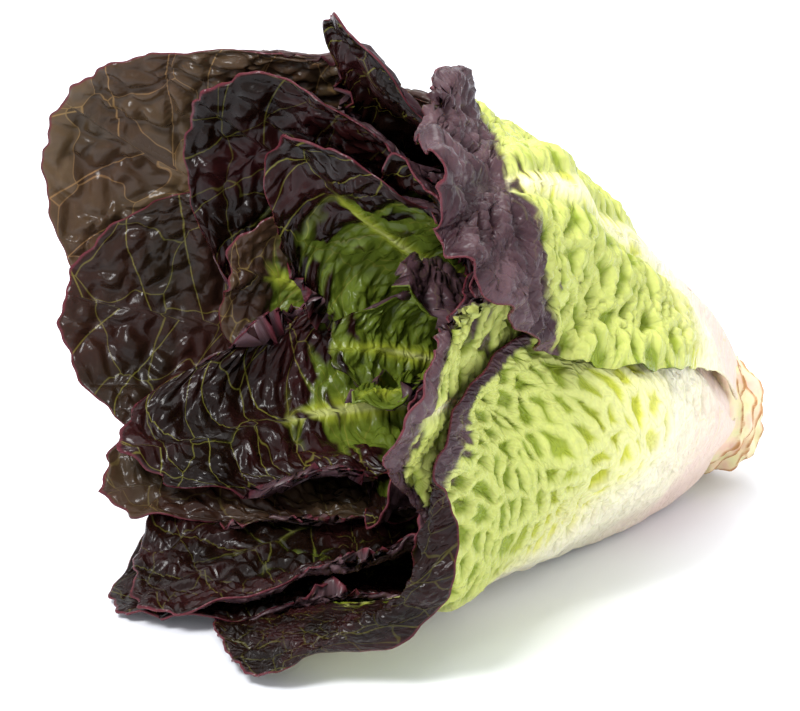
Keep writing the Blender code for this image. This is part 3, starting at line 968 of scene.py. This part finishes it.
@dataclass(frozen=True)
class LeafFinish:
    """The skin of one side of the leaves, with its colours as linear RGB."""

    side: Side
    green: Colour
    yellow: Colour
    cream: Colour
    dark_red: Colour
    bright_red: Colour
    brown: Colour
    vein: Colour
    rosy_vein: Colour
    rim: Colour
    blush: Colour
    gloss: float
    pale_gloss: float
    cloud_scale: float = 0.55
    grain_scale: float = 9.0
    bump_depth: float = 0.0009

    def material(self, net: VeinNet) -> bpy.types.Material:
        """Builds the material.

        Args:
            net: The vein net, which the lines and the fine relief follow.

        Returns:
            The material.
        """
        upper = self.side is Side.UPPER
        material, bench, shader = principled(
            f"leaf_{self.side.value}_face", Subsurface_Weight=0.12, Subsurface_Radius=(1.0, 0.7, 0.25),
            Subsurface_Scale=0.002, Specular_IOR_Level=0.15)
        place = bench.mark(net.attribute, "Vector")
        red, pale, rim, brown, cell = (
            bench.mark(name) for name in (f"red_{self.side.value}", "pale", "rim", "brown", "cell"))
        marks = net.marks(bench, place, cell)
        cloud = bench.noise(place, self.cloud_scale, 3.0)
        grain = bench.noise(place, self.grain_scale, 2.0)
        flesh = bench.mix(pale.ramp(0.0, 0.55), self.green, self.yellow)
        flesh = bench.mix(pale.ramp(0.4, 0.9), flesh, self.cream)
        wine = bench.mix(cloud.ramp(0.35, 0.7), self.dark_red, self.bright_red)
        wine = bench.mix(brown * (0.35 + 0.8 * marks.lot), wine, self.brown)
        if upper:
            stain = red + (cloud - 0.5) * 0.7 + (marks.dome - 0.7) * 0.55
            line = (marks.vein * 0.75).most(marks.lateral) * bench.mark("veined")
        else:
            bare = bench.mark("bare")
            netted = 1.0 - bare
            stain = red + (marks.dome.least(0.7) - 0.7) * (1.1 - red) * 1.2
            stain = stain + (cloud - 0.5) * netted * 0.9 - 0.15
            line = marks.vein.most(marks.lateral) * netted * (0.45 - red * 0.4)
            ridge = bench.mix(pale.ramp(0.0, 0.7), self.vein, self.cream)
            hill = marks.dome.ramp(0.3, 1.0) * netted * (0.04 + 0.34 * marks.lot)
            flesh = bench.mix(hill, flesh, self.green)
            flesh = bench.mix(marks.dome.ramp(0.7, 0.0) * 0.7, flesh, ridge)
            flesh = bench.mix(bare, flesh, self.cream)
        flesh = bench.mix((pale + (cloud - 0.5) * 0.3).ramp(1.0, 1.35), flesh, self.blush)
        stain = stain.ramp(0.30, 0.60)
        skin = bench.mix(stain, flesh, wine)
        thread = bench.mix(brown * 0.9 + (cloud - 0.5) * 0.6, self.vein, self.rosy_vein)
        skin = bench.mix(line * (0.5 + 0.4 * cloud), skin, thread)
        if upper:
            midrib = bench.mix(pale.ramp(0.1, 0.7), self.vein, self.cream)
            skin = bench.mix(bench.mark("rib").ramp(0.25, 0.9), skin, midrib)
        skin = bench.mix(rim.ramp(0.35, 0.9) * stain.ramp(-0.2, 0.6), skin, self.rim)
        skin = bench.mix((grain - 0.5) * 0.25 + 0.08, skin, self.dark_red)
        dull = self.gloss + pale * (self.pale_gloss - self.gloss) + (grain - 0.5) * 0.12
        height = (marks.fine * 0.55 + grain * 0.25 + marks.dome * 0.6) * (1.0 if upper else -1.0)
        bench.coat(shader, skin, dull, height, self.bump_depth)
        return material


UPPER_FACE = LeafFinish(
    Side.UPPER, green=(0.095, 0.130, 0.014), yellow=(0.30, 0.34, 0.03), cream=(0.86, 0.83, 0.46),
    dark_red=(0.0055, 0.0024, 0.0014), bright_red=(0.021, 0.0048, 0.0050), brown=(0.115, 0.074, 0.038),
    vein=(0.20, 0.19, 0.030), rosy_vein=(0.30, 0.13, 0.075), rim=(0.095, 0.019, 0.027),
    blush=(0.86, 0.74, 0.55), gloss=0.23, pale_gloss=0.42)
LOWER_FACE = LeafFinish(
    Side.LOWER, green=(0.24, 0.31, 0.026), yellow=(0.72, 0.71, 0.075), cream=(0.88, 0.82, 0.62),
    dark_red=(0.034, 0.015, 0.019), bright_red=(0.105, 0.058, 0.066), brown=(0.06, 0.04, 0.024),
    vein=(0.66, 0.69, 0.20), rosy_vein=(0.22, 0.10, 0.085), rim=(0.12, 0.028, 0.038),
    blush=(0.84, 0.66, 0.56), gloss=0.28, pale_gloss=0.45)


@dataclass(frozen=True)
class StemFinish:
    """The cut stem: waxy pale sides, browned scars and a cut face that air has dulled."""

    pale: Colour = (0.86, 0.74, 0.47)
    pink: Colour = (0.82, 0.55, 0.42)
    green: Colour = (0.66, 0.66, 0.30)
    scar: Colour = (0.50, 0.25, 0.09)
    crust: Colour = (0.30, 0.13, 0.05)
    cloud_scale: float = 160.0
    grain_scale: float = 900.0
    fibre_scale: float = 520.0
    bump_depth: float = 0.0008

    def material(self) -> bpy.types.Material:
        """Builds the material.

        Returns:
            The material.
        """
        material, bench, shader = principled("stem_skin", Subsurface_Weight=0.25,
                                             Subsurface_Radius=(1.0, 0.6, 0.3), Subsurface_Scale=0.003)
        place = bench.add("ShaderNodeTexCoord", None, None, "Object")
        scar, face = bench.mark("scar"), bench.mark("face")
        cloud = bench.noise(place, self.cloud_scale, 4.0)
        grain = bench.noise(place, self.grain_scale, 3.0)
        fibres = bench.add("ShaderNodeTexVoronoi", {"feature": "F1"},
                           {"Vector": place, "Scale": self.fibre_scale}, "Distance")
        skin = bench.mix(cloud.ramp(0.35, 0.7), self.pale, self.pink)
        skin = bench.mix(cloud.ramp(0.5, 0.3) * 0.5, skin, self.green)
        skin = bench.mix((scar + (cloud - 0.5) * 0.8).ramp(0.35, 0.85), skin, self.scar)
        skin = bench.mix((scar + (grain - 0.5) * 0.8).ramp(0.75, 1.1) * 0.8, skin, self.crust)
        skin = bench.mix(face * fibres.ramp(0.1, 0.5) * 0.35, skin, self.scar)
        dull = 0.45 + scar * 0.25 + (grain - 0.5) * 0.2
        bench.coat(shader, skin, dull, cloud * 0.7 + grain * 0.4, self.bump_depth)
        return material


@dataclass(frozen=True)
class FloorFinish:
    """A matt white board with a faint grain."""

    white: Colour = (0.86, 0.875, 0.92)
    speck: Colour = (0.8, 0.8, 0.8)

    def material(self) -> bpy.types.Material:
        """Builds the material.

        Returns:
            The material.
        """
        material, bench, shader = principled("floor_board", Roughness=0.6)
        grain = bench.noise(bench.add("ShaderNodeTexCoord", None, None, "Object"), 40.0)
        bench.join(shader.inputs["Base Color"], bench.mix(grain * 0.02, self.white, self.speck))
        return material


@dataclass
class LeafBlade:
    """One leaf of the head: a fine sheet on the leaf's nested form, with relief, rim and thickness."""

    order: int
    head: HeadForm
    net: VeinNet
    laid: np.ndarray
    rim_depth: float = 0.6
    rim_thickness: float = 0.45
    vein_thickness: float = 0.5
    rim_centre: float = 0.45
    rounding: float = 0.6
    crenation: float = 0.5
    calm_rim: float = 6.0
    crumple_height: float = 4.0
    frill_reach: float = 13.0
    curl_reach: float = 5.0
    thin_reach: float = 3.0
    red_reach: float = 8.0
    red_lead: float = 0.12

    @property
    def leaf(self) -> Leaf:
        """The leaf's entry in the list of leaves."""
        return LEAVES[self.order]

    def outline(self, u: np.ndarray, v: np.ndarray) -> tuple[np.ndarray, np.ndarray]:
        """Rounds the blade's corners, scallops its rim and tears it.

        Args:
            u: Place across the plain grid.
            v: Place along it.

        Returns:
            The same places on the shaped blade.
        """
        up = (v - self.rim_centre) / (1.0 - self.rim_centre)
        rim = np.maximum(np.abs(u), up)
        place = np.arctan2(u, up)
        run = 2.0 * math.pi * self.rim_run(u, v)
        lobes = np.sin(run / 19.0 + self.order) + 0.4 * np.sin(run / 7.3 + 2.1 * self.order)
        shrink = self.crenation / self.leaf.half_width * lobes * smooth_step((rim - 0.85) / 0.15)
        for where, depth, half_width in self.leaf.tears:
            near = np.exp(-np.abs(np.degrees(place) - where) / half_width)
            shrink = shrink + depth * near * smooth_step((rim - 0.5) / 0.5)
        tip = np.clip(up, 0.0, 1.0)
        up = up * np.sqrt(1.0 - self.rounding * u**2 / 2.0)
        u = u * np.sqrt(1.0 - self.rounding * tip**2 / 2.0)
        u = u * (1.0 - shrink * smooth_step(v / 0.3))
        v = np.where(up > 0.0, self.rim_centre + up * (1.0 - self.rim_centre) * (1.0 - shrink), v)
        foot = np.sin(9.0 * u + self.order) + 0.6 * np.sin(23.0 * u + 2.0 * self.order)
        return u, v + 0.006 * foot * smooth_step(1.0 - v / 0.1)

    def rim_run(self, u: np.ndarray, v: np.ndarray) -> np.ndarray:
        """Distance along the rim from the tip to the nearest part of the rim."""
        return np.abs(u) * self.leaf.half_width + (1.0 - v) * self.head.blade_length * self.leaf.reach

    def build(self) -> bpy.types.Object:
        """Makes the leaf's mesh.

        Returns:
            The leaf, with its marks for the finish on its points.
        """
        leaf, head = self.leaf, self.head
        width = leaf.half_width * (1.0 + leaf.lee)
        length = head.blade_length * leaf.reach
        columns, rows = (max(24, round(side / leaf.ring.pitch)) for side in (width, length))
        deselect_all()
        bpy.ops.mesh.primitive_grid_add(x_subdivisions=columns, y_subdivisions=rows, size=2)
        piece = bpy.context.object
        piece.name = piece.data.name = f"{leaf.name}_blade"
        flat = read_points(piece.data)
        plain_u, plain_v = flat[:, 0], (flat[:, 1] + 1.0) / 2.0
        u, v = self.outline(plain_u, plain_v)
        radius, _ = head.profile(head.layer_of(self.order), leaf.reach * v)
        across = u * head.side_share(leaf, u) * head.half_angle_at(self.order, v) * radius
        write_marks(piece.data, self.net.attribute, self.net.places(across, v * length, leaf, self.order))
        self.net.stamp(piece, leaf.cell)
        net = {name: read_marks(piece.data, name) for name in ("dome", "fine", "lot", "lateral", "crumple")}
        to_side = (1.0 - np.abs(plain_u)) * head.half_width_at(leaf, v)
        to_rim = np.minimum(to_side, (1.0 - plain_v) * length)
        thickness = head.thickness_at(self.order, u, v)
        rib = smooth_step((thickness - head.blade_thickness) / (0.12 + 1.2 * (1.0 - v)))
        self.mark(piece.data, u, v, to_rim, rib)
        free = smooth_step((v - 0.05) / 0.4) * (1.0 - rib) * (1.0 - self.bareness(u, v))
        free = free * smooth_step(to_rim / self.calm_rim)
        points = head.laid_down(head.blade(self.order, self.laid, u, v))
        points = points + self.normals(points, rows + 1) * self.relief(u, v, to_rim, free, net)[:, None]
        thinned = head.blade_thickness - self.rim_thickness
        thickness = thickness - thinned * np.exp(-to_rim / self.thin_reach)
        thickness = thickness + self.vein_thickness * np.maximum(net["lateral"], 0.6 - net["dome"]) * free
        points[:, 2] = np.maximum(points[:, 2], leaf.bed + thickness)
        write_points(piece.data, points * MM)
        self.thicken(piece, thickness)
        return piece

    def relief(self, u: np.ndarray, v: np.ndarray, to_rim: np.ndarray, free: np.ndarray,
               net: dict[str, np.ndarray]) -> np.ndarray:
        """Height of the blisters, the crumples, the ruffles and the curled rim.

        Args:
            u: Place across the blade.
            v: Place along it.
            to_rim: Distance to the blade's rim.
            free: 1 where blisters rise fully, and 0 on the midrib, the foot and the rim.
            net: What the vein net has written on the points.

        Returns:
            How far each point stands out from the smooth form, away from the heart.
        """
        leaf = self.leaf
        height = -leaf.blister * (net["dome"] * (0.45 + 0.9 * net["lot"]) - 0.8) * free
        height = height + (leaf.lift - leaf.pimple * (net["fine"] - 0.5)) * free
        height = height + self.crumple_height * (net["crumple"] - 0.5) * smooth_step(v / 0.4)
        run = 2.0 * math.pi * self.rim_run(u, v) / leaf.frill_length
        stray = 1.6 * np.tanh(3.0 * u) + 3.0 * (net["crumple"] - 0.5) + self.order
        frill = np.sin(run + stray) + 0.3 * np.sin(1.9 * run + 1.7 * stray)
        frill = leaf.frill * frill * np.exp(-to_rim / self.frill_reach)
        height = height + frill * smooth_step((v - 0.3) / 0.4)
        return height + leaf.curl * np.exp(-to_rim / self.curl_reach) * smooth_step((v - 0.3) / 0.3)

    def normals(self, points: np.ndarray, rows: int) -> np.ndarray:
        """Directions square to the sheet at its points, away from the heart."""
        grid = points.reshape(rows, -1, 3)
        return unit(np.cross(np.gradient(grid, axis=1), np.gradient(grid, axis=0))).reshape(-1, 3)

    def mark(self, mesh: bpy.types.Mesh, u: np.ndarray, v: np.ndarray, to_rim: np.ndarray,
             rib: np.ndarray) -> None:
        """Writes what the finish reads: both faces' redness, paleness, rim, midrib and the leaf's own looks.

        Args:
            mesh: The leaf's mesh.
            u: Place across the blade.
            v: Place along the blade.
            to_rim: Distance to the blade's rim.
            rib: 1 on the midrib and 0 on the blade.
        """
        leaf, bare = self.leaf, self.bareness(u, v)
        past = v - leaf.red_from + self.red_lead
        coloured = smooth_step(past / 0.2) * (0.3 if leaf.ring is Ring.HEART else 1.0)
        edge = np.exp(-to_rim / self.red_reach) * coloured
        back = leaf.red_back * smooth_step((v - leaf.back_from) / 0.4) + 0.9 * edge
        pale = np.clip(1.0 - smooth_step((v - leaf.pale_to + 0.2) / 0.5) + 0.6 * bare, 0.0, 1.0)
        write_marks(mesh, "red_upper", np.clip(smooth_step(past / 0.3) + 0.7 * edge, 0.0, 1.3))
        write_marks(mesh, "red_lower", np.clip(back, 0.0, 1.3))
        write_marks(mesh, "pale", pale + 0.5 * smooth_step(1.0 - v / 0.42))
        write_marks(mesh, "rim", np.exp(-((to_rim / self.rim_depth) ** 2)) * coloured)
        write_marks(mesh, "rib", rib * (1.0 - 0.85 * smooth_step((v - 0.25) / 0.5)))
        write_marks(mesh, "bare", leaf.rib_white * bare)
        for name, value in (("brown", leaf.brown), ("veined", leaf.veined), ("cell", leaf.cell)):
            write_marks(mesh, name, np.full(len(u), value))

    def bareness(self, u: np.ndarray, v: np.ndarray) -> np.ndarray:
        """How smooth and white the lower face is beside a broad midrib.

        Args:
            u: Place across the blade.
            v: Place along it.

        Returns:
            1 on the midrib, falling to 0 on the blade.
        """
        leaf = self.leaf
        across = np.abs(u) * self.head.side_share(leaf, u) * self.head.half_width_at(leaf, v)
        spread = leaf.rib_spread * (1.0 - 0.8 * v) + 0.5
        shape = np.exp(-((across / spread) ** 2)) * smooth_step((1.15 - v) / 0.4)
        return shape * smooth_step(leaf.rib_spread)

    def thicken(self, piece: bpy.types.Object, thickness: np.ndarray) -> None:
        """Gives the sheet its thickness on its outer side, and its two sides their material slots.

        Args:
            piece: The leaf.
            thickness: The thickness at each point, in millimetres.
        """
        weights = piece.vertex_groups.new(name="thickness")
        thickest = float(thickness.max())
        for index, share in enumerate(thickness / thickest):
            weights.add([index], share, "REPLACE")
        solid = piece.modifiers.new("Thickness", "SOLIDIFY")
        solid.thickness = thickest * MM
        solid.offset = 1.0
        solid.vertex_group = weights.name
        solid.material_offset = 1
        solid.material_offset_rim = 1
        for _ in range(2):
            piece.data.materials.append(None)
        apply_modifier(piece, solid)
        points = read_points(piece.data)
        points[:, 2] = np.maximum(points[:, 2], 0.0)
        write_points(piece.data, points)
        piece.data.shade_smooth()

    def dress(self, piece: bpy.types.Object, lower: bpy.types.Material, upper: bpy.types.Material) -> None:
        """Gives the leaf its two skins and ties it to its node.

        Args:
            piece: The leaf.
            lower: The skin of the side away from the heart.
            upper: The skin of the side towards it.
        """
        piece.data.materials[0] = lower
        piece.data.materials[1] = upper
        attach(piece, "root")
        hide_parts(self.leaf.name)


@dataclass
class StemButt:
    """The cut stem with its leaf scars, and the cone inside the head that carries the leaves."""

    head: HeadForm
    butt_end: float = -10.0
    butt_radius: float = 17.5
    swells: Profile = ((2.6, 0.2), (0.0, 1.1), (-2.4, -0.4), (-5.0, 0.7), (-7.4, -0.5))
    gap: float = 0.9
    tip_height: float = 56.0
    sides: int = 168
    scars: int = 17
    scar_top: float = 3.4
    scar_step: float = 0.85
    scar_half_angle: float = 1.05
    scar_half_width: float = 0.55
    scar_height: float = 0.9
    side_sink: float = 0.35
    face_ripple: float = 0.35
    face_hollow: float = 1.2

    def outline(self) -> list[tuple[float, float]]:
        """Half outline from the tip down to the cut face.

        Returns:
            Pairs of the distance from the axis and the height along it.
        """
        outer_foot, heart_foot = self.head.outer_profile[0], self.head.heart_profile[0]
        slope = (heart_foot[0] - outer_foot[0]) / (heart_foot[1] - outer_foot[1])
        line = [(0.0, self.tip_height)]
        for height in np.linspace(self.tip_height - 2.0, outer_foot[1] + 1.0, 6):
            line.append((outer_foot[0] + slope * (height - outer_foot[1]) - self.gap, float(height)))
        line.extend((self.butt_radius + swell, height) for height, swell in self.swells)
        line.append((self.butt_radius - 2.4, self.butt_end))
        line.append((self.butt_radius * 0.5, self.butt_end - 0.5))
        line.append((0.0, self.butt_end - 0.3))
        return line

    def knobbly(self, points: np.ndarray) -> np.ndarray:
        """Roughens the turned stem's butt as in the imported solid.

        Args:
            points: Places on the smooth stem, in head coordinates.

        Returns:
            The same places on the rough stem.
        """
        radius, angle = polar(points)
        along = points[:, 2]
        on_butt = smooth_step((4.0 - along) / 3.0) * smooth_step(radius / self.butt_radius)
        knobs = 0.9 * np.sin(5 * angle + 0.5 * along) + 0.5 * np.sin(11 * angle + 1.3 - 0.9 * along)
        radius = radius + knobs * on_butt
        height = along + 0.6 * on_butt * np.sin(3 * angle + 1.0)
        return np.stack((radius * np.cos(angle), radius * np.sin(angle), height), axis=-1)

    def scar_field(self, points: np.ndarray) -> np.ndarray:
        """How far each point stands on the ridge of a leaf scar, from 0 to 1.

        Args:
            points: Places on the stem, in head coordinates.

        Returns:
            The ridge's height there.
        """
        _, angle = polar(points)
        ridge = np.zeros(len(points))
        for number in range(self.scars):
            away = turn_from(math.radians(self.head.divergence) * number, angle)
            arc = np.clip(np.abs(away) / self.scar_half_angle, 0.0, 1.0)
            rise = self.scar_top - self.scar_step * number + 1.9 * arc**2
            rise = rise + 0.3 * np.sin(17.0 * angle + number)
            line = np.exp(-(((points[:, 2] - rise) / self.scar_half_width) ** 2))
            ridge = np.maximum(ridge, line * smooth_step((1.0 - arc) / 0.25))
        return ridge

    def turned(self) -> bpy.types.Object:
        """Turns the outline round the axis.

        Returns:
            The smooth stem, in head coordinates.
        """
        line = self.outline()
        mesh = bpy.data.meshes.new("stem_butt_cut")
        edges = [(i, i + 1) for i in range(len(line) - 1)]
        mesh.from_pydata([(radius, 0.0, height) for radius, height in line], edges, [])
        stem = bpy.data.objects.new("stem_butt_cut", mesh)
        bpy.context.scene.collection.objects.link(stem)
        screw = stem.modifiers.new("Turn", "SCREW")
        screw.steps = screw.render_steps = self.sides // 4
        screw.use_merge_vertices = True
        screw.merge_threshold = 0.0001
        apply_modifier(stem, screw)
        finer = stem.modifiers.new("Finer", "SUBSURF")
        finer.subdivision_type = "SIMPLE"
        finer.levels = finer.render_levels = 2
        apply_modifier(stem, finer)
        return stem

    def build(self, material: bpy.types.Material) -> bpy.types.Object:
        """Makes the stem, raises its scars and sets the head over its packed place.

        Args:
            material: The stem's skin.

        Returns:
            The stem.
        """
        stem = self.turned()
        mesh = stem.data
        points = self.knobbly(read_points(mesh))
        plain = self.head.laid_down(points)
        low, high = (np.array(corner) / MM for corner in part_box("stem_butt"))
        middle = (low + high) / 2.0 - (plain.min(axis=0) + plain.max(axis=0)) / 2.0
        self.head.centre = (float(middle[0]), float(middle[1]), 0.0)
        radius, angle = polar(points)
        share = radius / self.butt_radius
        side = smooth_step((7.0 - points[:, 2]) / 3.0) * smooth_step((share - 0.75) / 0.15)
        ridge = self.scar_field(points) * side
        swell = 1.0 + (self.scar_height * ridge - self.side_sink * side) / np.maximum(radius, 1.0)
        points[:, :2] *= swell[:, None]
        face = smooth_step((self.butt_end + 2.0 - points[:, 2]) / 2.0) * smooth_step(1.2 - share)
        rings = np.sin(radius * 1.9 + 0.8 * np.sin(5.0 * angle))
        hollow = self.face_hollow * smooth_step(1.0 - radius / (0.7 * self.butt_radius))
        points[:, 2] += face * (self.face_ripple * rings + hollow)
        write_points(mesh, self.head.laid_down(points) * MM)
        write_marks(mesh, "scar", np.maximum(ridge, 0.55 * face))
        write_marks(mesh, "face", face)
        mesh.materials.append(material)
        mesh.shade_smooth()
        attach(stem, "root")
        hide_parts("stem_butt")
        return stem


def stand(name: str, data: bpy.types.ID, aim: Point, azimuth: float, elevation: float,
          distance: float) -> bpy.types.Object:
    """Stands a light or a camera before a point and turns it to face the point.

    Args:
        name: The object's name.
        data: The light or the camera.
        aim: The point that it faces, in metres.
        azimuth: Where it stands round the point, in degrees: 0 at the front, 90 at the right.
        elevation: How high it stands, in degrees.
        distance: How far it stands from the point, in metres.

    Returns:
        The object, linked to the scene.
    """
    around, up = math.radians(azimuth), math.radians(elevation)
    level = math.cos(up)
    toward = Vector((math.sin(around) * level, -math.cos(around) * level, math.sin(up)))
    holder = bpy.data.objects.new(name, data)
    holder.location = Vector(aim) + toward * distance
    holder.rotation_euler = toward.to_track_quat("Z", "Y").to_euler()
    bpy.context.scene.collection.objects.link(holder)
    return holder


@dataclass(frozen=True)
class Lamp:
    """One square soft light that faces the head. Angles are in degrees, lengths in metres, power in watts."""

    name: str
    azimuth: float
    elevation: float
    distance: float
    size: float
    power: float

    def build(self) -> None:
        """Adds the light to the scene."""
        lamp = bpy.data.lights.new(self.name, "AREA")
        lamp.size = self.size
        lamp.energy = self.power
        stand(self.name, lamp, (0.0, 0.0, 0.0), self.azimuth, self.elevation, self.distance)


@dataclass
class Studio:
    """The pale floor, the soft lights and the camera at the photograph's view. Lengths are in metres."""

    azimuth: float = -40.0
    elevation: float = 20.0
    distance: float = 0.9
    aim: Point = (-0.01270, 0.00295, 0.05259)
    lens: float = 156.5
    floor_size: float = 8.0
    sky: Colour = (0.93, 0.965, 1.0)
    sky_strength: float = 0.98
    lamps: tuple[Lamp, ...] = (
        Lamp("key", azimuth=-75.0, elevation=52.0, distance=1.5, size=0.4, power=20.0),
        Lamp("fill", azimuth=25.0, elevation=30.0, distance=1.6, size=0.5, power=3.0),
        Lamp("rim", azimuth=150.0, elevation=55.0, distance=1.6, size=0.7, power=9.0),
        Lamp("top", azimuth=0.0, elevation=86.0, distance=1.5, size=0.9, power=7.0),
    )

    def build(self) -> None:
        """Sets up the floor, the world, the lights and the camera."""
        deselect_all()
        bpy.ops.mesh.primitive_plane_add(size=self.floor_size)
        floor = bpy.context.object
        floor.name = "floor_board"
        floor.data.materials.append(FloorFinish().material())
        world = bpy.data.worlds.new("soft_room")
        world.use_nodes = True
        bpy.context.scene.world = world
        background = world.node_tree.nodes["Background"]
        background.inputs["Color"].default_value = (*self.sky, 1.0)
        background.inputs["Strength"].default_value = self.sky_strength
        for lamp in self.lamps:
            lamp.build()
        bpy.context.scene.view_settings.view_transform = "Standard"
        camera = bpy.data.cameras.new("camera")
        camera.lens = self.lens
        bpy.context.scene.camera = stand(
            "camera", camera, self.aim, self.azimuth, self.elevation, self.distance)


def main() -> None:
    """Builds the stem, the leaves from the outermost to the heart, and the studio."""
    logging.basicConfig(level=logging.INFO, format="%(name)s: %(message)s")
    head, net = HeadForm(), VeinNet()
    stem = StemButt(head).build(StemFinish().material())
    LOG.info("%s: %d faces", stem.name, len(stem.data.polygons))
    lower, upper = LOWER_FACE.material(net), UPPER_FACE.material(net)
    laid = head.lay_leaves()
    for order in range(len(LEAVES)):
        blade = LeafBlade(order, head, net, laid[order])
        piece = blade.build()
        blade.dress(piece, lower, upper)
        LOG.info("%s: %d faces", piece.name, len(piece.data.polygons))
    Studio().build()


if __name__ == "__main__":
    main()
